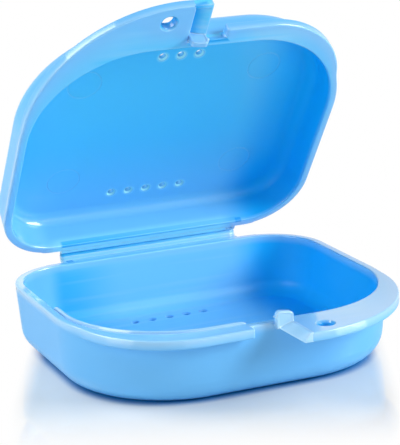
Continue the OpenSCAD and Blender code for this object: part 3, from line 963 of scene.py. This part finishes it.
def ridge_bar(size, height):
    """The locating ridge: a small rounded bar carried along the inside of the rim from the left side to the
    lip's end, low at both ends."""
    half_w, half_d, r = size.inner_w / 2, size.inner_d / 2, size.front_r
    way = rays(np.radians(np.linspace(180, 270, 60)))
    arc = np.array([r - half_w, r - half_d]) + r * way
    side = np.linspace(r - half_d + 0.1 * size.inner_d, r - half_d, 9)[:-1]
    run = np.linspace(r - half_w, -size.lip_end, 9)[1:]
    left, front = np.stack([np.full(8, -half_w), side], -1), np.stack([run, np.full(8, -half_d)], -1)
    at = np.concatenate([left, arc, front])
    way = np.concatenate([np.tile([-1.0, 0], (8, 1)), way, np.tile([0, -1.0], (8, 1))])
    top = np.full(len(at), size.ridge_h)
    top[[0, -1]] *= 0.15
    top[[1, -2]] *= 0.75
    # The section: out of the rim's inside, and up as a share of the ridge or, below the rim, in millimetres
    out = np.array([-0.05, -0.3, -0.38, -0.5, -0.72, -0.86, -0.92, -0.96, -0.6]) * MM
    up = np.array([-0.7, 0.0, 0.82, 1.0, 1.0, 0.82, 0.0, -0.9, -2.4])
    z = height + np.where(up[None] > 0, up[None] * top[:, None], up[None] * MM)
    return loft(raised(at[:, None] + out[None, :, None] * way[:, None], z))


# Hinge film


def band(name, section, along):
    """A closed section (n points y, z) carried along x: point (i, j) is (along[j], section[i]).
    The two ends are closed by one face each."""
    n, m = len(section), len(along)
    x, i = np.meshgrid(along, np.arange(n), indexing="ij")
    points = np.stack([x, section[i, 0], section[i, 1]], axis=-1).reshape(-1, 3)
    j, i = np.meshgrid(np.arange(m - 1), np.arange(n), indexing="ij")
    k = (i + 1) % n
    sides = np.stack([j * n + i, j * n + k, (j + 1) * n + k, (j + 1) * n + i], axis=-1).reshape(-1, 4)
    faces = sides.tolist() + [list(range(n))[::-1], list(range((m - 1) * n, m * n))]
    mesh = bpy.data.meshes.new(name)
    mesh.from_pydata(points.tolist(), [], faces)
    mesh.update()
    mesh.shade_smooth()
    return linked(name, mesh)


def film_section(radius, turn, thick, centre, count=48):
    """The hinge strap's section: an arc of that radius turning from the tub's land to the lid's, thin at both
    ends where it bends and thicker between: half thickness = thick * (0.5 + 0.5 * swell of the middle)."""
    u = np.linspace(0, 1, count)
    swell = ease((0.5 - np.abs(u - 0.5) - 0.19) / 0.07)
    ray = rays(-math.pi / 2 + turn * u)
    half = thick * (0.5 + 0.5 * swell)[:, None]
    outer = centre + ray * (radius + half)
    inner = centre + ray * (radius - half)
    return np.concatenate([outer, inner[::-1]])


# Operators


def row(size, count, y):
    """Places of a row of air holes."""
    return [np.array([(i - (count - 1) / 2) * size.vent_pitch, y]) for i in range(count)]


def lanyard_at(size):
    """Place and radius of the lanyard hole, 4.8 mm in from the tab's front."""
    y = -size.inner_d / 2 - size.wall - size.tab_reach + 4.8 * MM
    return np.array([size.lanyard_x, y]), size.lanyard_d / 2


def paint(node, material):
    """Give a material to a solid that is shown as it is."""
    solid = frame["nodes"][node].data
    solid.materials.clear()
    solid.materials.append(material)


class CASE_OT_tub(bpy.types.Operator):
    """Make the tub: wall, floor, rim, lip and tab, with its hook, ridge and hinge land"""
    bl_idname = "case.tub"
    bl_label = "Tub"

    def execute(self, context):
        size, look = context.scene.case_sizes, context.scene.case_finish
        plastic = polypropylene("tub_polypropylene", look, (0, 0, BASE_TOP), (0, 0, 1), look.hinge)
        vents = row(size, 5, size.inner_d / 2 - size.vent_back)
        half = case_half(size, size.base_h, size.base_round, vents, TUB_VENTS, SATIN, lanyard_at(size))
        tub = piece("tub", half, as_tub, plastic)
        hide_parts("base_shell", "base_rim_lip", "base_thumb_tab")
        # Tongue and hook are thin, so painted paler, as light shines through thin plastic
        latch = join([(slanted_tongue(size, size.base_h), -1.0), (hook_head(size, size.base_h), -0.9)])
        hook = piece("tub_hook", latch, as_tub, plastic)
        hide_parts("base_latch_hook")
        ridge = piece("tub_ridge", join([(ridge_bar(size, size.base_h), SATIN)]), as_tub, plastic)
        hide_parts("base_locating_ridge")
        for made in (tub, hook, ridge):
            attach(made, "base")
        paint("base_hinge_land", plastic)
        return {"FINISHED"}


class CASE_OT_lid(bpy.types.Operator):
    """Make the lid: wall, top, rim, lip and tab, with its hook and hinge land"""
    bl_idname = "case.lid"
    bl_label = "Lid"

    def execute(self, context):
        size, look = context.scene.case_sizes, context.scene.case_finish
        pitch, half_d = size.vent_pitch, size.inner_d / 2
        # Rows of air holes that get a painted light ring
        rows = [(pitch, HINGE_AT[1] - half_d + size.vent_back, 2.5 * pitch),
                (pitch, HINGE_AT[1] + half_d - size.vent_front, 1.5 * pitch)]
        # Painted shade: the whole lid is painted less pale than the tub
        plastic = polypropylene("lid_polypropylene", look, HINGE_AT, tuple(LID_OUT), look.strap, -0.3, rows)
        vents = row(size, 5, half_d - size.vent_back) + row(size, 3, size.vent_front - half_d)
        half = case_half(size, size.lid_h, size.lid_round, vents, LID_VENTS, HOLLOW_SHADE, lanyard_at(size), PINS)
        place = as_lid(size)
        lid = piece("lid", half, place, plastic)
        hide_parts("lid_shell", "lid_rim_lip", "lid_thumb_tab")
        # The tongue's upper face grows from satin at the free edge to the painted shade of a deep hollow a
        # third of the way across
        tongue = sunk_tongue(size, size.lid_h)
        across = (tongue[0][:, 0] - size.hook_x0) / (size.hook_x1 - size.hook_x0)
        upper = tongue[0][:, 2] > size.lid_h - 1.2 * MM
        sunk = np.where(upper, HOLLOW_SHADE * np.clip(3 * across, 0, 1), SATIN)
        latch = join([(tongue, sunk), (hook_head(size, size.lid_h), -0.2)])
        hook = piece("lid_hook", latch, place, plastic)
        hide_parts("lid_latch_hook")
        for made in (lid, hook):
            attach(made, "lid")
        paint("lid_hinge_land", plastic)
        return {"FINISHED"}


class CASE_OT_film(bpy.types.Operator):
    """Make the hinge strap that bends between tub and lid"""
    bl_idname = "case.film"
    bl_label = "Hinge film"

    def execute(self, context):
        size, look = context.scene.case_sizes, context.scene.case_finish
        low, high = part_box("hinge_film")
        # One arc from the tub's land to the lid's, square to both
        turn = math.pi - size.open_angle
        start = HINGE_AT[1:] - np.array([LAND_TO_HINGE, size.rim_gap / 2 + FILM_DROP])
        centre = start + np.array([0, FILM_R])
        section = film_section(FILM_R, turn, size.film_t, centre)
        strap = band("hinge_strap", section, np.linspace(low.x, high.x, 40))
        # Painted light: the film is painted paler, for light through the thin film
        strap.data.materials.append(
            polypropylene("film_polypropylene", look, (0, 0, BASE_TOP), (0, 0, 1), look.hinge, thin=0.25))
        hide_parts("hinge_film")
        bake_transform(strap)
        return {"FINISHED"}


class CASE_OT_stage(bpy.types.Operator):
    """Set the floor, the lamps, the room light and the camera"""
    bl_idname = "case.stage"
    bl_label = "Stage"

    def execute(self, context):
        stage = context.scene.case_stage
        self.floor(stage)
        self.lamps(stage)
        self.room(context, stage)
        self.camera(context, stage)
        context.scene.view_settings.view_transform = "Standard"
        return {"FINISHED"}

    def floor(self, stage):
        """A wide flat glossy floor just under the case."""
        mesh = bpy.data.meshes.new("floor")
        corners = FLOOR_HALF * np.array([(-1, -1, 0), (1, -1, 0), (1, 1, 0), (-1, 1, 0)])
        mesh.from_pydata(corners.tolist(), [], [(0, 1, 2, 3)])
        floor = linked("floor", mesh)
        floor.location.z = -0.02 * MM
        material = bpy.data.materials.new("floor_gloss")
        wire = new_tree(material)
        # White far from the case: how far a place lies outside its foot, quicker to the sides than in front
        place = wire.add("ShaderNodeTexCoord", out="Object")
        out = wire.add("ShaderNodeVectorRotate", {"rotation_type": "Z_AXIS"},
                       {"Vector": place, "Angle": FOOT_TURN})
        out = out.vector("ADD", FOOT_OFFSET).vector("ABSOLUTE").vector("SUBTRACT", FOOT_HALF)
        far = out.vector("MAXIMUM").vector("MULTIPLY", (5, 1, 0)).vector("LENGTH").step(0.0, 0.03)
        # Painted shadow: the floor turns to the contact shadow colour only where the case is close above
        open_sky = wire.add("ShaderNodeAmbientOcclusion", {"samples": 16}, {"Distance": 3 * MM}, out="AO")
        lit = open_sky.step(0.05, 0.7)
        tone = lit.mix(stage.contact_shadow, stage.floor)
        shader = wire.add("ShaderNodeBsdfPrincipled", {}, {"Base Color": tone, "Roughness": 0.04, "IOR": 2.3})
        glow = wire.add("ShaderNodeEmission", {}, {"Color": (1, 1, 1, 1), "Strength": 1.0})
        seen = wire.add("ShaderNodeLightPath", out="Is Camera Ray")
        both = wire.add("ShaderNodeMixShader", {}, {0: seen * (far * 0.95 + lit * 0.05), 1: shader, 2: glow})
        wire.add("ShaderNodeOutputMaterial", {}, {"Surface": both})
        mesh.materials.append(material)

    def lamps(self, stage):
        """Softboxes: each an area lamp at a place, looking at the case."""
        for name, place, size in LAMPS:
            light = bpy.data.lights.new(name, "AREA")
            light.shape = "RECTANGLE"
            light.size, light.size_y = size
            light.energy = getattr(stage, name)
            lamp = linked(name, light)
            lamp.location = place
            lamp.rotation_euler = (LAMPS_LOOK_AT - Vector(place)).to_track_quat("-Z", "Y").to_euler()

    def room(self, context, stage):
        """Even light of the room, white to the camera and in reflections."""
        world = bpy.data.worlds.new("room")
        context.scene.world = world
        wire = new_tree(world)
        camera = wire.add("ShaderNodeLightPath", out="Is Camera Ray")
        glossy = wire.add("ShaderNodeLightPath", out="Is Glossy Ray")
        level = wire.maths("MINIMUM", camera + glossy, 1) * (1 - stage.sky) + stage.sky
        sky = wire.add("ShaderNodeBackground", {}, {"Color": (1, 1, 1, 1), "Strength": level})
        wire.add("ShaderNodeOutputWorld", {}, {"Surface": sky})

    def camera(self, context, stage):
        """The photograph's viewpoint."""
        right = Vector(CAMERA_RIGHT).normalized()
        back = right.cross(Vector(CAMERA_UP).normalized())
        up = back.cross(right)
        lens = bpy.data.cameras.new("camera")
        lens.sensor_width, lens.lens = 36.0, stage.lens
        lens.clip_start, lens.clip_end = 0.01, 50.0
        camera = linked("camera", lens)
        camera.matrix_world = Matrix.Translation(CAMERA_AT) @ Matrix((right, up, back)).transposed().to_4x4()
        context.scene.camera = camera


class CASE_PT_panel(bpy.types.Panel):
    """Sizes, colours and stage of the case, and a button for each step"""
    bl_idname = "CASE_PT_panel"
    bl_label = "Retainer case"
    bl_space_type = "VIEW_3D"
    bl_region_type = "UI"
    bl_category = "Retainer case"

    def draw(self, context):
        for group in (context.scene.case_sizes, context.scene.case_finish, context.scene.case_stage):
            for name in group.__annotations__:
                self.layout.prop(group, name)
        for operator in OPERATORS:
            self.layout.operator(operator.bl_idname)


OPERATORS = (CASE_OT_tub, CASE_OT_lid, CASE_OT_film, CASE_OT_stage)
CLASSES = (CaseSizes, CaseFinish, CaseStage, *OPERATORS, CASE_PT_panel)


def register():
    """Make the classes and the scene's settings known."""
    for item in CLASSES:
        bpy.utils.register_class(item)
    bpy.types.Scene.case_sizes = PointerProperty(type=CaseSizes)
    bpy.types.Scene.case_finish = PointerProperty(type=CaseFinish)
    bpy.types.Scene.case_stage = PointerProperty(type=CaseStage)


def unregister():
    """Take the settings and the classes away again."""
    del bpy.types.Scene.case_stage
    del bpy.types.Scene.case_finish
    del bpy.types.Scene.case_sizes
    for item in reversed(CLASSES):
        bpy.utils.unregister_class(item)


def main():
    """Build the case and its stage."""
    register()
    bpy.ops.case.tub()
    bpy.ops.case.lid()
    bpy.ops.case.film()
    bpy.ops.case.stage()


if __name__ == "__main__":
    main()
